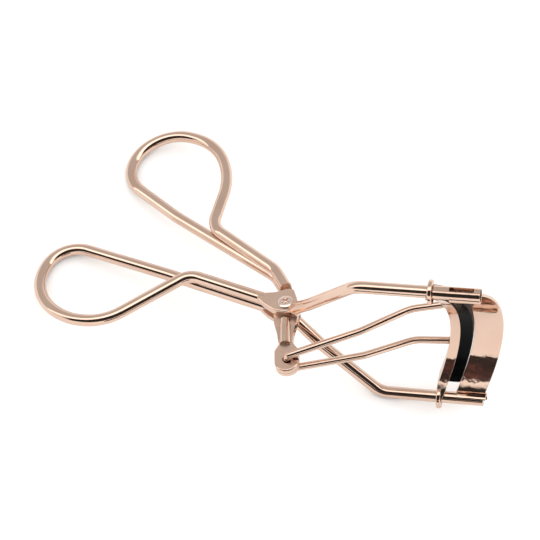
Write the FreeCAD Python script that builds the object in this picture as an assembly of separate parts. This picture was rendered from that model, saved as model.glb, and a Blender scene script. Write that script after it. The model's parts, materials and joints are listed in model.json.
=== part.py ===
import FreeCAD, Part
import math
import os
from FreeCAD import Vector

# Eyelash curler, in millimetres.
# It is drawn first in its own working plane: the pivot rivet stands on the origin along Z,
# the two guide posts run along +X, and +Y is the side towards which the jaws bow.
# At the end every piece is laid down on its three resting points and centred over them.

# ---- driving dimensions -------------------------------------------------------------------
WIRE_R = 1.25            # frame and lever wire, radius
LINK_R = 0.76            # link wire, radius
STACK_Z = 1.3            # height of the upper strand of a handle above the mid-plane

POST_Z = 17.86           # half the distance between the two posts
POST_Y = -6.26           # posts' offset from the pivot
UPPER_ARM_X = (5.9, 17.1)   # where an arm rises, and where it turns into its post
LOWER_ARM_X = (6.8, 18.5)
POST_END_X = 41.0        # at the mid-plane; the jaws' skew moves each post's end

PLATE_BOTTOM_Z = 0.98    # frame's flattened plates, either side of the lever
PLATE_TOP_Z = 2.5
LEVER_FLAT_Z = 0.93      # half the height of the lever's flattened stack
LAYER_GAP = 0.02         # half the gap between the two flattened strands
SHANK_R = 1.1            # the two strands between the pivot and the eye
SHANK_ASIDE = -0.4

RIVET_R = 1.0
RIVET_HEAD_R = 1.6
RIVET_HEAD_H = 0.45
RUNNING_GAP = 0.05       # radial clearance of the lever on its rivet

EYE = Vector(2.7, -12.95, 0)   # centre of the eye at the lever's short end
EYE_HOLE_R = 1.02
EYE_HALF_WIDTH = 2.45
EYE_ASIDE = -0.2         # the eye's plate stands this far to one side of its hole
EYE_Z = 1.1              # half the height of the eye's two layers
SLIT_HALF = 0.3          # half the width of the slit that opens the eye
RIM_ROUND = 0.35         # rounding of the stamped plates' rims

ARC_R = 26.85            # radius of the jaws' curve
ARC_RISE = 6.8           # how far the jaws bow towards +Y
ARCH_RISE = 4.0          # how far their middle stands forward in +X
JAW_SKEW = 0.03          # the jaws' small lean: x gained per millimetre of height
FIXED_BACK_X = 34.4      # pressing edge of the fixed jaw, at the posts
FIXED_WIDTH = 5.8
FIXED_THICK = 0.6
SLEEVE_R = 1.6
UPPER_SLEEVE_R = 1.55
UPPER_SLEEVE_SAG = Vector(0, -0.16, -0.12)   # its roll hangs a little low on the post
SLEEVE_FLAT = 1.32       # from the post's centre to the sleeve's flat outer side
SLEEVE_X = 35.2          # where a sleeve starts, at the mid-plane
SLEEVE_END = 0.1         # how far a sleeve reaches past its post
LIP_Z = 0.4              # above the post's centre, the edge of the upper sleeve's long lip
SLOT_X = 35.1            # where the slot starts, at the mid-plane
SLOT_WIDTH = 1.05
SLOT_FLOOR = 0.3         # from the post's centre to the bottom of the slot's groove
SLOT_CLOSED = 1.15       # length of the closed end beyond the slot
LOWER_WRAP_TURN = 37     # degrees, how the lower sleeve's open half is turned round its post

CHANNEL_BACK_X = 29.7    # back of the moving jaw's channel, at the posts
CHANNEL_DEPTH = 2.0
CHANNEL_WALL = 0.35
CHANNEL_OUTER = 3.0      # across the channel
EAR_R = 2.48
EAR_X = 31.0             # back of the ears, at the mid-plane
EAR_THICK = 0.9
EAR_ROUND = 0.3          # rounding of an ear's rim
EAR_GAP = 0.12           # between an ear and the sleeve in front of it
POST_GAP = 0.06          # radial clearance of an ear on its post

PAD_THICK = 2.2
PAD_GAP = 0.06           # between the pad and the fixed jaw at rest
PAD_LOW_Z = -14.5
PAD_HIGH_Z = 15.3
PAD_FIT = 0.05           # clearance of the pad in its channel
END_FIT = 0.15           # clearance at the pad's two ends

LINK_TIP_Z = 6.2         # where the link's legs meet the moving jaw
TIP_HOLE_R = 1.05        # the tips' play takes up the small error of the slide
TIP_REACH = -0.1         # from the middle of the back wall to the end of a tip

LIE_ABOUT_Y = -12.0      # degrees, laying the working plane down onto the resting points
LIE_ABOUT_X = -4.9

os.makedirs("parts", exist_ok=True)


# ---- wire bending -------------------------------------------------------------------------
def bent_path(corners):
    """Straight runs joined by tangent arcs; corners are (x, y, z, bend radius)."""
    points = [Vector(*c[:3]) for c in corners]
    edges = []
    start = points[0]
    for before, here, after, corner in zip(points, points[1:], points[2:], corners[1:]):
        to_back = (before - here).normalize()
        to_next = (after - here).normalize()
        half_turn = (math.pi - to_back.getAngle(to_next)) / 2
        reach = corner[3] * math.tan(half_turn)
        first = here + to_back * reach
        last = here + to_next * reach
        centre = here + (to_back + to_next).normalize() * (corner[3] / math.cos(half_turn))
        middle = centre + (here - centre).normalize() * corner[3]
        edges.append(Part.LineSegment(start, first).toShape())
        edges.append(Part.Arc(first, middle, last).toShape())
        start = last
    edges.append(Part.LineSegment(start, points[-1]).toShape())
    return Part.Wire(edges)


def bent_wire(corners, radius):
    """A round wire bent along the corners."""
    path = bent_path(corners)
    start = Vector(*corners[0][:3])
    along = (Vector(*corners[1][:3]) - start).normalize()
    section = Part.Wire(Part.makeCircle(radius, start, along))
    return path.makePipeShell([section], True, False)


def rounded_slab(outline, low, high):
    """A flat piece with rounded corners; outline is (x, y, corner radius)."""
    edges = []
    count = len(outline)
    ends = []
    for i in range(count):
        here = Vector(outline[i][0], outline[i][1], low)
        before = Vector(outline[i - 1][0], outline[i - 1][1], low)
        after = Vector(outline[(i + 1) % count][0], outline[(i + 1) % count][1], low)
        to_back = (before - here).normalize()
        to_next = (after - here).normalize()
        half_turn = (math.pi - to_back.getAngle(to_next)) / 2
        reach = outline[i][2] * math.tan(half_turn)
        first = here + to_back * reach
        last = here + to_next * reach
        centre = here + (to_back + to_next).normalize() * (outline[i][2] / math.cos(half_turn))
        middle = centre + (here - centre).normalize() * outline[i][2]
        ends.append((first, middle, last))
    for i in range(count):
        first, middle, last = ends[i]
        edges.append(Part.LineSegment(ends[i - 1][2], first).toShape())
        edges.append(Part.Arc(first, middle, last).toShape())
    return Part.Face(Part.Wire(edges)).extrude(Vector(0, 0, high - low))


def eased_slab(outline, low, high):
    """A flat piece with rounded corners and a rounded upper rim."""
    slab = rounded_slab(outline, low, high)
    rim = [e for e in slab.Edges if e.BoundBox.ZMin > high - 0.01]
    return slab.makeFillet(RIM_ROUND, rim)


def drum(radius, centre, low, high):
    """An upright cylinder between two heights."""
    return Part.makeCylinder(radius, high - low, Vector(centre.x, centre.y, low))


def flipped(shape):
    """The mirror image of a piece below the mid-plane."""
    return shape.mirror(Vector(0, 0, 0), Vector(0, 0, 1))


# ---- the two handles ----------------------------------------------------------------------
FRAME_NECK = (-5.2, 1.38)
frame_loop = [
    (*FRAME_NECK, STACK_Z, 0),
    (-22.0, 6.1, STACK_Z, 4.5),
    (-37.43, -7.36, 1.1, 10.46),
    (-46.46, -6.93, 0.5, 13.77),
    (-52.56, -2.21, -0.1, 12.07),
    (-55.33, 3.91, -0.6, 10.5),
    (-52.67, 14.02, -1.1, 6.65),
    (-27.6, 7.7, -STACK_Z, 20.0),
    (*FRAME_NECK, -STACK_Z, 0),
]

LEVER_NECK = (-1.0, 4.6)
lever_loop = [
    (*LEVER_NECK, STACK_Z, 0),
    (-4.2, 8.93, STACK_Z, 6.0),
    (-20.0, 19.1, STACK_Z, 4.8),
    (-19.3, 30.0, 1.2, 17.5),
    (-20.2, 35.21, 1.0, 18.98),
    (-24.47, 42.92, 0.6, 12.85),
    (-36.45, 46.2, 0.0, 9.9),
    (-41.31, 40.49, -0.6, 7.63),
    (-44.23, 33.28, -1.1, 7.5),
    (-29.0, 23.05, -STACK_Z, 23.0),
    (-4.5, 9.15, -STACK_Z, 6.0),
    (*LEVER_NECK, -STACK_Z, 0),
]


def post_end(side):
    """X of a post's end."""
    return POST_END_X + JAW_SKEW * side * POST_Z


def make_slot():
    """The slot through the upper sleeve into its post."""
    start = SLOT_X + JAW_SKEW * POST_Z
    return Part.makeBox(post_end(1) - SLOT_CLOSED - start, SLOT_WIDTH, 3,
                        Vector(start, POST_Y - SLOT_WIDTH / 2, POST_Z + SLOT_FLOOR))


def make_arm(bends_x, end_x):
    """The upper half of the frame's working end: flattened plate, arm and post."""
    middle_z = (PLATE_BOTTOM_Z + PLATE_TOP_Z) / 2
    arm = [
        (end_x, POST_Y, POST_Z, 0),
        (bends_x[1], POST_Y, POST_Z, 4.5),
        (bends_x[0], -3.25, 6.7, 4.0),
        (1.5, -1.0, middle_z, 0),
    ]
    outline = [
        (-6.6, 1.9, 0.4),
        (-2.7, 2.5, 4.0),
        (-0.6, 3.5, 0.8),
        (1.0, 3.6, 0.6),
        (2.1, 1.4, 4.0),
        (2.9, -0.9, 0.8),
        (2.6, -2.6, 0.6),
        (-2.0, -2.2, 3.0),
        (-4.3, -0.9, 4.0),
        (-6.0, 0.5, 0.4),
    ]
    above = Part.makeBox(60, 60, 60, Vector(-20, -30, PLATE_BOTTOM_Z))
    half = bent_wire(arm, WIRE_R).common(above)
    half = half.fuse(eased_slab(outline, PLATE_BOTTOM_Z, PLATE_TOP_Z))
    return half.fuse(Part.makeSphere(WIRE_R, Vector(*FRAME_NECK, STACK_Z)))


def make_frame():
    """One wire: post, arm, flattened plate, handle loop, plate, arm and post."""
    upper = make_arm(UPPER_ARM_X, post_end(1))
    lower = flipped(make_arm(LOWER_ARM_X, post_end(-1)))
    frame = bent_wire(frame_loop, WIRE_R).fuse([upper, lower])
    seat = drum(RIVET_HEAD_R + 0.3, Vector(0, 0, 0), PLATE_TOP_Z, PLATE_TOP_Z + 2)
    frame = frame.cut([seat, flipped(seat), drum(RIVET_R, Vector(0, 0, 0), -5, 5), make_slot()])
    return frame.removeSplitter()


def make_lever():
    """One wire: the eye's upper layer, the pivot flat, the handle loop and back below."""
    down = Vector(EYE)
    down.normalize()
    side = Vector(-down.y, down.x, 0)

    def at(along, across):
        point = down * along + side * across
        return (point.x, point.y)

    shank = [
        (*at(3.4, SHANK_ASIDE), SHANK_R - 0.25, 0),
        (*at(5.0, SHANK_ASIDE), SHANK_R - 0.05, 6.0),
        (*at(9.4, SHANK_ASIDE), SHANK_R - 0.05, 0),
    ]
    flat = [
        (*at(9.0, SHANK_ASIDE - 1.4), 0.4),
        (*at(9.0, SHANK_ASIDE + 1.4), 0.4),
        (*at(6.5, SHANK_ASIDE + 1.65), 4.0),
        (*at(3.6, 2.0), 2.0),
        (*at(0.0, 2.7), 2.0),
        (LEVER_NECK[0] + 0.7, LEVER_NECK[1] + 1.0, 0.4),
        (LEVER_NECK[0] - 1.3, LEVER_NECK[1] - 0.5, 0.4),
        (*at(0.0, -2.7), 2.0),
        (*at(3.6, -2.7), 2.0),
        (*at(6.5, SHANK_ASIDE - 1.65), 4.0),
    ]
    left = EYE_ASIDE - EYE_HALF_WIDTH
    right = EYE_ASIDE + EYE_HALF_WIDTH
    plate = [
        (*at(8.8, left + 1.2), 0.5),
        (*at(8.8, right - 1.3), 0.5),
        (*at(10.8, right), 0.9),
        (*at(16.0, right), EYE_HALF_WIDTH - 0.05),
        (*at(16.0, left), EYE_HALF_WIDTH - 0.05),
        (*at(10.8, left), 0.9),
    ]
    above = Part.makeBox(60, 60, 20, Vector(-30, -30, LAYER_GAP))
    half = rounded_slab(flat, LAYER_GAP, LEVER_FLAT_Z)
    half = half.fuse(bent_wire(shank, SHANK_R).common(above))
    half = half.fuse(eased_slab(plate, LAYER_GAP, EYE_Z))
    slit = Part.makeBox(6, 2 * SLIT_HALF, 4, Vector(EYE.x, EYE.y - SLIT_HALF, -2))
    slit.rotate(EYE, Vector(0, 0, 1), 8)
    half = half.cut([drum(EYE_HOLE_R, EYE, -3, 3), slit])
    lever = bent_wire(lever_loop, WIRE_R).fuse([half, flipped(half)])
    return lever.cut(drum(RIVET_R + RUNNING_GAP, Vector(0, 0, 0), -5, 5)).removeSplitter()


def make_rivet():
    """The pivot: a shank through both wires with a cupped head at each end."""
    shank = drum(RIVET_R, Vector(0, 0, 0), -PLATE_TOP_Z, PLATE_TOP_Z)
    head = drum(RIVET_HEAD_R, Vector(0, 0, 0), PLATE_TOP_Z, PLATE_TOP_Z + RIVET_HEAD_H)
    rim = [e for e in head.Edges if e.BoundBox.ZMin > PLATE_TOP_Z + RIVET_HEAD_H / 2]
    head = head.makeFillet(RIVET_HEAD_H * 0.6, rim)
    cup = Part.makeCone(0.35, 0.75, 0.4, Vector(0, 0, PLATE_TOP_Z + RIVET_HEAD_H - 0.35))
    head = head.cut(cup)
    return shank.fuse([head, flipped(head)]).removeSplitter()


# ---- the jaws -----------------------------------------------------------------------------
ARC_CENTRE_Y = POST_Y + ARC_RISE - ARC_R
ARCH_R = (POST_Z ** 2 + ARCH_RISE ** 2) / (2 * ARCH_RISE)


def arch_x(back_x, z):
    """X of a jaw edge at height z, when it stands at back_x at the posts."""
    centre = back_x + ARCH_RISE - ARCH_R
    return centre + math.sqrt(ARCH_R ** 2 - z ** 2) + JAW_SKEW * z


def arc_y(radius, z):
    """Y of the jaws' curve of a given radius at height z."""
    return ARC_CENTRE_Y + math.sqrt(radius ** 2 - z ** 2)


def bowed(inner_r, outer_r, low_x, high_x, low_z, high_z):
    """A strip bowed in Y between two radii, straight along X."""
    ends = []
    for radius, first, last in ((inner_r, high_z, low_z), (outer_r, low_z, high_z)):
        heights = (first, (first + last) / 2, last)
        ends.append([Vector(low_x, arc_y(radius, z), z) for z in heights])
    bow = Part.Wire([
        Part.Arc(*ends[0]).toShape(),
        Part.LineSegment(ends[0][2], ends[1][0]).toShape(),
        Part.Arc(*ends[1]).toShape(),
        Part.LineSegment(ends[1][2], ends[0][0]).toShape(),
    ])
    return Part.Face(bow).extrude(Vector(high_x - low_x, 0, 0))


def jaw_strip(inner_r, outer_r, back_x, front_x, low_z, high_z):
    """A strip bowed in Y between two radii, and arched in X between two edges."""
    edges = []
    for x, first in ((back_x, -POST_Z), (front_x, POST_Z)):
        edges.append([Vector(arch_x(x, z), -40, z) for z in (first, 0, -first)])
    arch = Part.Wire([
        Part.Arc(*edges[0]).toShape(),
        Part.LineSegment(edges[0][2], edges[1][0]).toShape(),
        Part.Arc(*edges[1]).toShape(),
        Part.LineSegment(edges[1][2], edges[0][0]).toShape(),
    ])
    arched = Part.Face(arch).extrude(Vector(0, 80, 0))
    return bowed(inner_r, outer_r, 0, 60, low_z, high_z).common(arched)


def along_post(radius, low_x, high_x, side):
    """A cylinder on the upper (side 1) or lower (side -1) post."""
    return Part.makeCylinder(radius, high_x - low_x, Vector(low_x, POST_Y, side * POST_Z), Vector(1, 0, 0))


def ear_back(side):
    """X of the back of an ear."""
    return EAR_X + JAW_SKEW * side * POST_Z


def make_upper_sleeve():
    """The sheet rolled right round the upper post, with a flat outer side and a long lip."""
    start = SLEEVE_X + JAW_SKEW * POST_Z
    lip_start = ear_back(1) + EAR_THICK + EAR_GAP
    end = post_end(1) + SLEEVE_END
    sleeve = along_post(UPPER_SLEEVE_R, start, end, 1)
    lip = along_post(UPPER_SLEEVE_R, lip_start, start, 1)
    sleeve.translate(UPPER_SLEEVE_SAG)
    lip.translate(UPPER_SLEEVE_SAG)
    lip = lip.common(Part.makeBox(20, 6, 6, Vector(30, POST_Y - 3, POST_Z + LIP_Z)))
    flat = Part.makeBox(20, 6, 6, Vector(30, POST_Y - 3, POST_Z + SLEEVE_FLAT))
    return sleeve.fuse(lip).cut([along_post(WIRE_R, 20, 60, 1), flat, make_slot()])


def make_lower_sleeve():
    """The sheet rolled half round the lower post."""
    start = SLEEVE_X - JAW_SKEW * POST_Z
    sleeve = along_post(SLEEVE_R, start, post_end(-1) + SLEEVE_END, -1)
    open_half = Part.makeBox(20, 6, 12, Vector(30, POST_Y - 6, -POST_Z - 6))
    open_half.rotate(Vector(30, POST_Y, -POST_Z), Vector(1, 0, 0), LOWER_WRAP_TURN)
    return sleeve.cut([along_post(WIRE_R, 20, 60, -1), open_half])


def make_fixed_jaw():
    """A bowed pressing plate, rolled round both posts."""
    inner = ARC_R - FIXED_THICK / 2
    front = FIXED_BACK_X + FIXED_WIDTH
    plate = jaw_strip(inner, inner + FIXED_THICK, FIXED_BACK_X, front, -POST_Z, POST_Z)
    posts = [along_post(WIRE_R, 10, 60, side) for side in (1, -1)]
    return plate.cut(posts).fuse([make_upper_sleeve(), make_lower_sleeve()]).removeSplitter()


def make_upper_neck(inner, outer, start_z):
    """The short tongue between the channel's open upper end and its ear."""
    back = arch_x(CHANNEL_BACK_X, start_z)
    return bowed(inner, outer, back, ear_back(1) + EAR_THICK, start_z, POST_Z)


def make_lower_neck(inner, outer, start_z):
    """The channel's lower end, narrowing in a curve down to its ear."""
    back = ear_back(-1)
    front = arch_x(CHANNEL_BACK_X + CHANNEL_DEPTH, start_z)
    shoulder = Vector(front - 0.45, -40, start_z - 1.3)
    tip = Vector(back + EAR_THICK, -40, -POST_Z + 0.4)
    corners = [
        Vector(front, -40, start_z),
        Vector(arch_x(CHANNEL_BACK_X, start_z), -40, start_z),
        Vector(back, -40, -POST_Z),
        Vector(back + EAR_THICK, -40, -POST_Z),
        tip,
    ]
    outline = [Part.LineSegment(a, b).toShape() for a, b in zip(corners, corners[1:])]
    outline.append(Part.Arc(tip, shoulder, corners[0]).toShape())
    blank = Part.Face(Part.Wire(outline)).extrude(Vector(0, 80, 0))
    return bowed(inner, outer, 0, 60, -POST_Z, start_z).common(blank)


def make_ear(side):
    """A rounded ring that slides on a post."""
    ear = along_post(EAR_R, ear_back(side), ear_back(side) + EAR_THICK, side)
    rims = [e for e in ear.Edges if e.BoundBox.XLength < EAR_THICK / 2]
    return ear.makeFillet(EAR_ROUND, rims)


def make_moving_jaw():
    """A bowed channel for the pad, with a ring at each end that slides on its post."""
    inner = ARC_R - CHANNEL_OUTER / 2
    outer = inner + CHANNEL_OUTER
    front = CHANNEL_BACK_X + CHANNEL_DEPTH
    low = PAD_LOW_Z - END_FIT
    high = PAD_HIGH_Z + END_FIT
    body = jaw_strip(inner, outer, CHANNEL_BACK_X, front, low, high)
    hollow = jaw_strip(inner + CHANNEL_WALL, outer - CHANNEL_WALL,
                       CHANNEL_BACK_X + CHANNEL_WALL, front + 1, low, high)
    ends = [make_upper_neck(inner, outer, high), make_lower_neck(inner, outer, low)]
    ends += [make_ear(1), make_ear(-1)]
    bores = [along_post(WIRE_R + POST_GAP, 10, 50, side) for side in (1, -1)]
    holes = []
    for side in (1, -1):
        way = link_end_way(side)
        holes.append(Part.makeCylinder(TIP_HOLE_R, 3, link_tip(side) - way * 1.5, way))
    return body.cut(hollow).fuse(ends).cut(bores + holes).removeSplitter()


def make_pad():
    """The soft pad in the channel."""
    inner = ARC_R - PAD_THICK / 2
    front = FIXED_BACK_X - PAD_GAP
    back = CHANNEL_BACK_X + CHANNEL_WALL + PAD_FIT
    return jaw_strip(inner, inner + PAD_THICK, back, front, PAD_LOW_Z, PAD_HIGH_Z)


# ---- the link -----------------------------------------------------------------------------
LINK_BENDS = [(16.75, -7.0, 4.1), (26.1, -1.4, 5.2)]


def link_tip(side):
    """Middle of the moving jaw's back wall where a leg passes through it."""
    x = arch_x(CHANNEL_BACK_X + CHANNEL_WALL / 2, side * LINK_TIP_Z)
    return Vector(x, arc_y(ARC_R, LINK_TIP_Z), side * LINK_TIP_Z)


def link_end_way(side):
    """Direction of a leg where it enters the moving jaw."""
    x, y, z = LINK_BENDS[-1]
    return (link_tip(side) - Vector(x, y, side * z)).normalize()


def make_link():
    """A hairpin of thin wire through the lever's eye."""
    ends = [link_tip(side) + link_end_way(side) * TIP_REACH for side in (1, -1)]
    rise = EYE_Z + LINK_R + 0.35
    legs = [(ends[0].x, ends[0].y, ends[0].z, 0)]
    legs += [(x, y, z, r) for (x, y, z), r in zip(reversed(LINK_BENDS), (8.0, 12.0))]
    legs += [(EYE.x, EYE.y, rise, 1.0), (EYE.x, EYE.y, -rise, 1.0)]
    legs += [(x, y, -z, r) for (x, y, z), r in zip(LINK_BENDS, (12.0, 8.0))]
    legs += [(ends[1].x, ends[1].y, ends[1].z, 0)]
    return bent_wire(legs, LINK_R)


# ---- laying the curler down and writing the pieces ----------------------------------------
def laid_down(shapes):
    """Tilt all pieces together, and set the origin at the bottom centre of their box."""
    for shape in shapes.values():
        shape.rotate(Vector(0, 0, 0), Vector(0, 1, 0), LIE_ABOUT_Y)
        shape.rotate(Vector(0, 0, 0), Vector(1, 0, 0), LIE_ABOUT_X)
    box = FreeCAD.BoundBox()
    for shape in shapes.values():
        box.add(shape.optimalBoundingBox(False))
    shift = Vector(-(box.XMin + box.XMax) / 2, -(box.YMin + box.YMax) / 2, -box.ZMin)
    for shape in shapes.values():
        shape.translate(shift)
    print("pivot at", shift, "box", box.XLength, box.YLength, box.ZLength)
    return shapes


pieces = {
    "frame_wire": make_frame(),
    "lever_wire": make_lever(),
    "pivot_rivet": make_rivet(),
    "link_wire": make_link(),
    "moving_jaw": make_moving_jaw(),
    "pad": make_pad(),
    "fixed_jaw": make_fixed_jaw(),
}
for name, shape in laid_down(pieces).items():
    print(name, "solids", len(shape.Solids), "valid", shape.isValid(), "volume", round(shape.Volume, 2))
    shape.exportStep("parts/" + name + ".step")
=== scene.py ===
import bpy
import bmesh
import json
import math
from mathutils import Matrix, Vector


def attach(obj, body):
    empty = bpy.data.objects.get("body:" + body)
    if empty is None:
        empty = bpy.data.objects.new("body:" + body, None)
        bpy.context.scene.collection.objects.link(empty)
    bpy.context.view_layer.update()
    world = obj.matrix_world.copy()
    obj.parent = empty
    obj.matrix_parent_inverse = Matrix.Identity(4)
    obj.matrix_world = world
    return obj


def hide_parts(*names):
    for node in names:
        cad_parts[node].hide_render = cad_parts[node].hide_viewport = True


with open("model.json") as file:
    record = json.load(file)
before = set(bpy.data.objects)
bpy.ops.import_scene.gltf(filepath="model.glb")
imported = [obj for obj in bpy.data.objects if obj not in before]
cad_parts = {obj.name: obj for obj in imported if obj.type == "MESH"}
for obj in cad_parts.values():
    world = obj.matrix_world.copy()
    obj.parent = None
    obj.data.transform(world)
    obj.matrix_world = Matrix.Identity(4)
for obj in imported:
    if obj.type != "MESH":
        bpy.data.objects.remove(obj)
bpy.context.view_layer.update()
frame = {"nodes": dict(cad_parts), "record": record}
JOINTS = {j["name"]: j for j in frame["record"]["behaviour"]["joints"]}

# ---- the curler's own working plane: pivot at the origin, posts along X, rivet along Z ------
PIVOT = Vector(JOINTS["handle_hinge"]["pos_m"])
AXIS_Z = Vector(JOINTS["handle_hinge"]["axis"]).normalized()
AXIS_X = Vector(JOINTS["jaw_slide"]["axis"]).normalized()
AXIS_Y = AXIS_Z.cross(AXIS_X).normalized()
EYE_CENTRE = Vector(JOINTS["link_swing"]["pos_m"])
MM = 0.001


def turned(x, y, z):
    """A vector of the working plane, turned into the scene's axes."""
    return AXIS_X * x + AXIS_Y * y + AXIS_Z * z


def placed(x, y, z):
    """A point of the working plane, in millimetres, in the scene's metres."""
    return PIVOT + turned(x, y, z) * MM


# ---- looks ----------------------------------------------------------------------------------
ROSE = (0.83, 0.585, 0.46)
ROSE_WORN = (0.86, 0.63, 0.505)
# painted highlight: the rivet gets a lighter copy of the rose gold so that its face looks
# brighter
RIVET_ROSE_PAINTED_BRIGHT = (0.93, 0.71, 0.6)
RIVET_WORN_PAINTED_BRIGHT = (0.96, 0.79, 0.7)
# painted shade: the brown that crevices are darkened towards, and how near a surface must be
CREVICE_PAINTED_SHADE = (0.22, 0.08, 0.035)
CREVICE_SHADE_REACH = 0.0012   # metres, how near another surface has to be
SATIN_ROUGHER = 0.24     # added to the roughness on a stamped flat
SATIN_GRAIN = 0.35       # added to the grain there
POLISH_GRAIN = 0.03
PLATE_SATIN = (placed(-1.0, 0.6, 1.7), 0.0062)
EYE_SATIN = (EYE_CENTRE + turned(0, 0.6, 1) * MM, 0.0052)

# ---- the jaws' double curve, in millimetres -------------------------------------------------
ARC_R = 26.85
ARC_RISE = 6.8
ARCH_RISE = 4.0
POST_Y = -6.26
POST_Z = 17.86
JAW_SKEW = 0.03
ARC_CENTRE_Y = POST_Y + ARC_RISE - ARC_R
ARCH_R = (POST_Z ** 2 + ARCH_RISE ** 2) / (2 * ARCH_RISE)

PAD_BACK, PAD_FRONT = 30.12, 34.32
PAD_HALF_THICK = 1.09
PAD_LOW_Z, PAD_HIGH_Z = -14.48, 15.28
PAD_CROWN = 0.45         # depth of the rounded front
PAD_CROWN_STEPS = 10
PAD_FLANK = 1.6          # from the front back to the first edge loop of the flat sides
PAD_CHAMFER = 0.12       # of the two hidden back edges
PAD_END_ROUND = 0.4
PAD_RINGS = 72

# (radius, height, how strongly the five lobes shape it), from the cup's middle to the shank
RIVET_HEAD = (
    (0.0, 2.42, 0), (0.36, 2.42, 1), (0.56, 2.60, 1), (0.66, 2.84, 1), (0.73, 2.90, 0.5),
    (0.82, 2.915, 0), (0.95, 2.90, 0), (1.08, 2.87, 0), (1.2, 2.835, 0), (1.34, 2.785, 0),
    (1.47, 2.72, 0), (1.56, 2.65, 0), (1.595, 2.60, 0), (1.56, 2.575, 0), (1.25, 2.57, 0),
    (1.22, 2.505, 0),
)
RIVET_LOBES = 5
RIVET_LOBE_DEPTH = 0.24
RIVET_LOBE_TURN = 0.4    # radians
RIVET_AROUND = 96

# ---- camera, floor and studio ---------------------------------------------------------------
CAMERA_AT = placed(87.5555, -220.6599, 307.2317)
CAMERA_LENS = 126.679
RIGHT = turned(0.969395, 0.196402, -0.146704).normalized()
BACK = RIGHT.cross(turned(-0.067176, 0.78828, 0.611546).normalized()).normalized()
UP = BACK.cross(RIGHT).normalized()

FLOOR_REACH = 3.0
FLOOR_DROP = 0.00002
FLOOR_SEEN = (0.93, 0.93, 0.93)
FLOOR_MIRRORED = (0.72, 0.72, 0.72)
CARD_X = (-0.015, 0.075)
CARD_Y = -0.088
CARD_TOP = 0.024
CARD_DARK = (0.014, 0.008, 0.008)
CARD_WARM = (0.13, 0.045, 0.035)

# the studio that the polish mirrors; angles in degrees, from the camera up over the top
FRONT_WALL_EDGE = (-42.0, -36.5)
FRONT_WALL_LIGHT = 1.1
SOFT_BOX_LOW = (13.0, 22.0)
SOFT_BOX_HIGH = (42.0, 56.0)
SOFT_BOX_LIGHT = 1.75
SOFT_BOX_DROP = 1.2      # how much darker it is above the soft box
FAR_RISE = (92.0, 125.0)
FAR_LIGHT = 0.45
BESIDE = (0.80, 0.93)    # how far to either side the dark opening ends
BESIDE_LIGHT = 0.75
DARKEST = 0.025
ROOM_LIGHT = 1.45        # even light on everything that isn't a mirror
ROOM_TINT = (1.0, 0.995, 0.985)


# ---- node helpers ---------------------------------------------------------------------------
class Graph:
    """A small wrapper that keeps node code short."""

    def __init__(self, tree):
        self.tree = tree
        self.tree.nodes.clear()

    def add(self, kind, **settings):
        node = self.tree.nodes.new(kind)
        for key, value in settings.items():
            setattr(node, key, value)
        return node

    def link(self, source, target):
        self.tree.links.new(source, target)

    def feed(self, socket, value):
        """Set a socket to a plain value, or link another socket to it."""
        if isinstance(value, (int, float)):
            socket.default_value = value
        elif isinstance(value, (tuple, Vector)):
            socket.default_value = tuple(value)
        else:
            self.link(value, socket)

    def math(self, operation, *values):
        node = self.add("ShaderNodeMath", operation=operation)
        for socket, value in zip(node.inputs, values):
            self.feed(socket, value)
        return node.outputs[0]

    def vector_math(self, operation, a, b):
        node = self.add("ShaderNodeVectorMath", operation=operation)
        self.feed(node.inputs[0], a)
        self.feed(node.inputs[1], b)
        return node.outputs["Value"]

    def ramp(self, value, low, high, out_low=0.0, out_high=1.0):
        node = self.add("ShaderNodeMapRange", interpolation_type="SMOOTHSTEP")
        for name, item in (("Value", value), ("From Min", low), ("From Max", high),
                           ("To Min", out_low), ("To Max", out_high)):
            self.feed(node.inputs[name], item)
        return node.outputs["Result"]

    def noise(self, vector, scale, detail, roughness=0.5):
        node = self.add("ShaderNodeTexNoise")
        self.feed(node.inputs["Vector"], vector)
        node.inputs["Scale"].default_value = scale
        node.inputs["Detail"].default_value = detail
        node.inputs["Roughness"].default_value = roughness
        return node.outputs["Fac"]

    def mix_colour(self, factor, a, b):
        """Mix two colours, each an RGB triple or a socket."""
        node = self.add("ShaderNodeMix", data_type="RGBA")
        self.feed(node.inputs["Factor"], factor)
        for name, colour in (("A", a), ("B", b)):
            self.feed(node.inputs[name], (*colour, 1) if isinstance(colour, tuple) else colour)
        return node.outputs["Result"]

    def bump(self, height, distance, strength=1.0, normal=None):
        node = self.add("ShaderNodeBump")
        node.inputs["Distance"].default_value = distance
        self.feed(node.inputs["Strength"], strength)
        self.link(height, node.inputs["Height"])
        if normal is not None:
            self.link(normal, node.inputs["Normal"])
        return node.outputs["Normal"]

    def place(self):
        return self.add("ShaderNodeTexCoord").outputs["Object"]


def material(name):
    mat = bpy.data.materials.new(name)
    mat.use_nodes = True
    graph = Graph(mat.node_tree)
    out = graph.add("ShaderNodeOutputMaterial")
    shader = graph.add("ShaderNodeBsdfPrincipled")
    graph.link(shader.outputs["BSDF"], out.inputs["Surface"])
    return mat, graph, shader


def satin_mask(g, place, spots):
    """1 on the flats of the stamped spots, each (centre, radius), and 0 elsewhere."""
    mask = 0.0
    for centre, radius in spots:
        away = g.vector_math("DISTANCE", place, centre)
        mask = g.math("MAXIMUM", mask, g.ramp(away, radius * 0.92, radius, 1.0, 0.0))
    normal = g.add("ShaderNodeNewGeometry").outputs["True Normal"]
    facing = g.math("ABSOLUTE", g.vector_math("DOT_PRODUCT", normal, AXIS_Z))
    return g.math("MULTIPLY", mask, g.ramp(facing, 0.985, 0.998))


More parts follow.
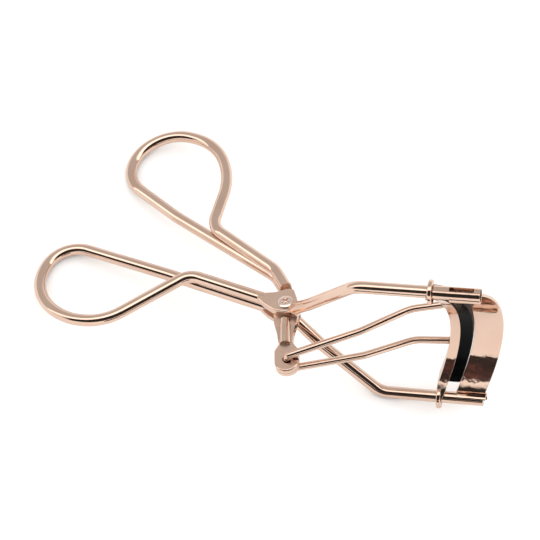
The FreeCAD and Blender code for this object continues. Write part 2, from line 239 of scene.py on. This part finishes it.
def rose_gold(name, colour, worn, rough, satin_spots=(), bevel=0.00012, waves=0.000012):
    """Polished rose-gold plating, satin on the stamped spots, with painted shade in the crevices.
    """
    mat, g, shader = material(name)
    place = g.place()
    shader.inputs["Metallic"].default_value = 1.0
    # the plating's tone wanders a little
    broad = g.noise(place, 140.0, 2.0)
    plating = g.mix_colour(g.ramp(broad, 0.35, 0.7), colour, worn)
    # painted shade: crevices, found by ambient occlusion, are darkened towards a dull brown
    crevice_shade = g.add("ShaderNodeAmbientOcclusion", samples=8)
    crevice_shade.inputs["Distance"].default_value = CREVICE_SHADE_REACH
    unshaded = g.ramp(crevice_shade.outputs["AO"], 0.2, 0.68)
    g.link(g.mix_colour(unshaded, CREVICE_PAINTED_SHADE, plating), shader.inputs["Base Color"])
    # hair-fine rub marks vary the gloss
    fine = g.noise(place, 2600.0, 3.0, 0.6)
    roughness = g.ramp(fine, 0.3, 0.75, rough * 0.75, rough * 1.35)
    grain = POLISH_GRAIN
    if satin_spots:
        satin = satin_mask(g, place, satin_spots)
        roughness = g.math("ADD", roughness, g.math("MULTIPLY", satin, SATIN_ROUGHER))
        grain = g.math("ADD", g.math("MULTIPLY", satin, SATIN_GRAIN), POLISH_GRAIN)
    g.link(roughness, shader.inputs["Roughness"])
    # eased edges, then the metal's slight waves, then the grain
    eased = g.add("ShaderNodeBevel", samples=4)
    eased.inputs["Radius"].default_value = bevel
    wavy = g.bump(g.noise(place, 420.0, 2.0, 0.4), waves, normal=eased.outputs["Normal"])
    g.link(g.bump(fine, 0.00001, grain, wavy), shader.inputs["Normal"])
    return mat


def black_silicone():
    """Nearly black, softly glossy, with a trace of dust and a fine skin."""
    mat, g, shader = material("black_silicone")
    place = g.place()
    dust = g.noise(place, 900.0, 4.0, 0.6)
    colour = g.mix_colour(g.ramp(dust, 0.45, 0.8), (0.001, 0.001, 0.0012), (0.003, 0.003, 0.003))
    g.link(colour, shader.inputs["Base Color"])
    g.link(g.ramp(dust, 0.3, 0.8, 0.16, 0.26), shader.inputs["Roughness"])
    shader.inputs["Specular IOR Level"].default_value = 0.07
    skin = g.noise(place, 9000.0, 2.0)
    g.link(g.bump(skin, 0.00002, 0.12), shader.inputs["Normal"])
    return mat


wire_metal = rose_gold("rose_gold_wire", ROSE, ROSE_WORN, 0.075, (PLATE_SATIN, EYE_SATIN))
sheet_metal = rose_gold("rose_gold_sheet", ROSE, ROSE_WORN, 0.06, waves=0.00005)
# painted highlight: the rivet's lighter colour brightens its face
rivet_metal_painted_bright = rose_gold("rose_gold_rivet", RIVET_ROSE_PAINTED_BRIGHT, RIVET_WORN_PAINTED_BRIGHT, 0.2, bevel=0.00005)
rubber = black_silicone()

FINISHES = {
    "frame_wire": wire_metal,
    "lever_wire": wire_metal,
    "link_wire": wire_metal,
    "pivot_rivet": rivet_metal_painted_bright,
    "fixed_jaw": sheet_metal,
    "moving_jaw": sheet_metal,
    "pad": rubber,
}
for node_name, finish in FINISHES.items():
    node = frame["nodes"][node_name]
    if not node.material_slots:
        node.data.materials.append(finish)
    for slot in node.material_slots:
        slot.material = finish


# ---- the modelled pieces --------------------------------------------------------------------
def linked(name, data, finish):
    """A new object in the scene, made of a mesh and a material."""
    data.materials.append(finish)
    thing = bpy.data.objects.new(name, data)
    bpy.context.scene.collection.objects.link(thing)
    return thing


def finished(name, mesh, finish):
    """Turn a worked mesh into a smooth object."""
    bmesh.ops.recalc_face_normals(mesh, faces=mesh.faces)
    data = bpy.data.meshes.new(name)
    mesh.to_mesh(data)
    mesh.free()
    data.shade_smooth()
    return linked(name, data, finish)


def arch_x(back_x, z):
    """X of a jaw edge at height z, when it stands at back_x at the posts."""
    return back_x + ARCH_RISE - ARCH_R + math.sqrt(ARCH_R ** 2 - z ** 2) + JAW_SKEW * z


def pad_section():
    """The pad's cross-section, as (x, distance across) from one back edge round to the other."""
    crown = []
    for i in range(PAD_CROWN_STEPS + 1):
        turn = math.pi * i / PAD_CROWN_STEPS
        depth = PAD_CROWN * (math.sin(turn) ** 0.5 - 1)
        crown.append((PAD_FRONT + depth, -PAD_HALF_THICK * math.cos(turn)))
    side = [
        (PAD_BACK, PAD_HALF_THICK - PAD_CHAMFER),
        (PAD_BACK + PAD_CHAMFER, PAD_HALF_THICK),
        (PAD_FRONT - PAD_FLANK, PAD_HALF_THICK),
    ]
    return [(x, -across) for x, across in side] + crown + side[::-1]


def make_pad():
    """Cross-sections swept along the jaw's double curve, rounded at the front and the ends."""
    section = pad_section()
    size = len(section)
    middle_z = (PAD_LOW_Z + PAD_HIGH_Z) / 2
    half_z = (PAD_HIGH_Z - PAD_LOW_Z) / 2
    mesh = bmesh.new()
    rings = []
    for i in range(PAD_RINGS + 1):
        t = -1 + 2 * i / PAD_RINGS
        # the rings stand closer together towards the two ends
        z = middle_z + half_z * (math.sin(t * math.pi / 2) + t) / 2
        from_end = min(z - PAD_LOW_Z, PAD_HIGH_Z - z)
        narrow = 1.0
        if from_end <= PAD_END_ROUND:
            narrow = 0.8 + 0.2 * math.sqrt(max(0.0, 1 - (1 - from_end / PAD_END_ROUND) ** 2))
        ring = []
        for x, across in section:
            depth = PAD_BACK + (x - PAD_BACK) * (0.97 + 0.03 * narrow)
            radius = ARC_R + across * narrow
            y = ARC_CENTRE_Y + math.sqrt(radius ** 2 - z ** 2)
            ring.append(mesh.verts.new(placed(arch_x(depth, z), y, z)))
        rings.append(ring)
    for a, b in zip(rings, rings[1:]):
        for k in range(size):
            mesh.faces.new((a[k], a[(k + 1) % size], b[(k + 1) % size], b[k]))
    mesh.faces.new(rings[0])
    mesh.faces.new(list(reversed(rings[-1])))
    pad = finished("silicone_pad", mesh, rubber)
    round_off = pad.modifiers.new("subdivision", "SUBSURF")
    round_off.levels = 1
    round_off.render_levels = 1
    return pad


pad = make_pad()
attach(pad, "slider")
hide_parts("pad")


def make_rivet():
    """Rings of points about the pivot's axis, from one domed head's cup to the other's."""
    profile = RIVET_HEAD + tuple((r, -z, lobe) for r, z, lobe in reversed(RIVET_HEAD))
    mesh = bmesh.new()
    rings = []
    for radius, height, lobe in profile:
        if radius == 0.0:
            rings.append([mesh.verts.new(placed(0, 0, height))])
            continue
        ring = []
        for i in range(RIVET_AROUND):
            a = 2 * math.pi * i / RIVET_AROUND
            wave = math.cos(RIVET_LOBES * a + RIVET_LOBE_TURN)
            r = radius * (1 + RIVET_LOBE_DEPTH * lobe * wave)
            ring.append(mesh.verts.new(placed(r * math.cos(a), r * math.sin(a), height)))
        rings.append(ring)
    for a, b in zip(rings, rings[1:]):
        for i in range(RIVET_AROUND):
            j = (i + 1) % RIVET_AROUND
            corners = [a[i % len(a)], a[j % len(a)], b[j % len(b)], b[i % len(b)]]
            mesh.faces.new(list(dict.fromkeys(corners)))
    return finished("pivot_rivet_turned", mesh, rivet_metal_painted_bright)


rivet = make_rivet()
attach(rivet, "frame")
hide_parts("pivot_rivet")


# ---- the stage ------------------------------------------------------------------------------
def flat_sheet(name, corners, finish):
    """One flat four-cornered sheet that belongs to the stage."""
    data = bpy.data.meshes.new(name)
    data.from_pydata(corners, [], [(0, 1, 2, 3)])
    sheet = linked(name, data, finish)
    return sheet


# the paper is lit to pure white; the metal mirrors it a little greyer, as a shaded table is
floor_mat, g, shader = material("paper_floor")
mirrored = g.add("ShaderNodeLightPath").outputs["Is Glossy Ray"]
g.link(g.mix_colour(mirrored, FLOOR_SEEN, FLOOR_MIRRORED), shader.inputs["Base Color"])
shader.inputs["Roughness"].default_value = 0.9
shader.inputs["Specular IOR Level"].default_value = 0.1
floor_signs = ((-1, -1), (1, -1), (1, 1), (-1, 1))
flat_sheet("floor", [(FLOOR_REACH * x, FLOOR_REACH * y, -FLOOR_DROP) for x, y in floor_signs],
           floor_mat)

# a low dark card in front of the jaws, seen only as the dark bands in their polish
card_mat, g, shader = material("dark_card")
cloud = g.noise(g.place(), 90.0, 4.0, 0.6)
g.link(g.mix_colour(g.ramp(cloud, 0.42, 0.72), CARD_DARK, CARD_WARM), shader.inputs["Base Color"])
shader.inputs["Roughness"].default_value = 0.9
card = flat_sheet("dark_card", [(CARD_X[0], CARD_Y, 0), (CARD_X[1], CARD_Y, 0),
                                (CARD_X[1], CARD_Y, CARD_TOP), (CARD_X[0], CARD_Y, CARD_TOP)],
                  card_mat)
card.visible_camera = False
card.visible_diffuse = False
card.visible_shadow = False

camera_data = bpy.data.cameras.new("camera")
camera_data.lens = CAMERA_LENS
camera_data.sensor_width = 36.0
camera_data.clip_start = 0.01
camera_data.clip_end = 50.0
camera = bpy.data.objects.new("camera", camera_data)
bpy.context.scene.collection.objects.link(camera)
camera.matrix_world = Matrix((
    (RIGHT.x, UP.x, BACK.x, CAMERA_AT.x),
    (RIGHT.y, UP.y, BACK.y, CAMERA_AT.y),
    (RIGHT.z, UP.z, BACK.z, CAMERA_AT.z),
    (0, 0, 0, 1)))
bpy.context.scene.camera = camera

world = bpy.data.worlds.new("studio")
bpy.context.scene.world = world
world.use_nodes = True
g = Graph(world.node_tree)
way = g.add("ShaderNodeTexCoord").outputs["Generated"]
to_front = g.vector_math("DOT_PRODUCT", way, BACK)
to_up = g.vector_math("DOT_PRODUCT", way, UP)
to_right = g.vector_math("DOT_PRODUCT", way, RIGHT)
# 0 towards the front, 90 over the top, 180 far below
turn = g.math("MULTIPLY", g.math("ARCTAN2", to_up, to_front), math.degrees(1))
soft_box = g.ramp(turn, *SOFT_BOX_LOW)
sky = g.math("ADD", g.ramp(turn, *FRONT_WALL_EDGE, FRONT_WALL_LIGHT, 0.0),
             g.math("MULTIPLY", soft_box, SOFT_BOX_LIGHT))
sky = g.math("SUBTRACT", sky, g.math("MULTIPLY", g.ramp(turn, *SOFT_BOX_HIGH), SOFT_BOX_DROP))
sky = g.math("ADD", sky, g.math("MULTIPLY", g.ramp(turn, *FAR_RISE), FAR_LIGHT))
# between the front wall and the soft box is a dark opening, closed to the left and right
beside = g.ramp(g.math("ABSOLUTE", to_right), *BESIDE)
opening = g.math("SUBTRACT", g.ramp(turn, *FRONT_WALL_EDGE), soft_box)
sky = g.math("ADD", sky, g.math("MULTIPLY", g.math("MULTIPLY", beside, opening), BESIDE_LIGHT))
sky = g.math("MAXIMUM", sky, DARKEST)
mirror = g.add("ShaderNodeLightPath").outputs["Is Glossy Ray"]
room = g.math("MULTIPLY", g.math("SUBTRACT", 1.0, mirror), ROOM_LIGHT)
background = g.add("ShaderNodeBackground")
background.inputs["Color"].default_value = (*ROOM_TINT, 1)
g.link(g.math("ADD", g.math("MULTIPLY", mirror, sky), room), background.inputs["Strength"])
world_out = g.add("ShaderNodeOutputWorld")
g.link(background.outputs["Background"], world_out.inputs["Surface"])

bpy.context.scene.view_settings.view_transform = "Standard"
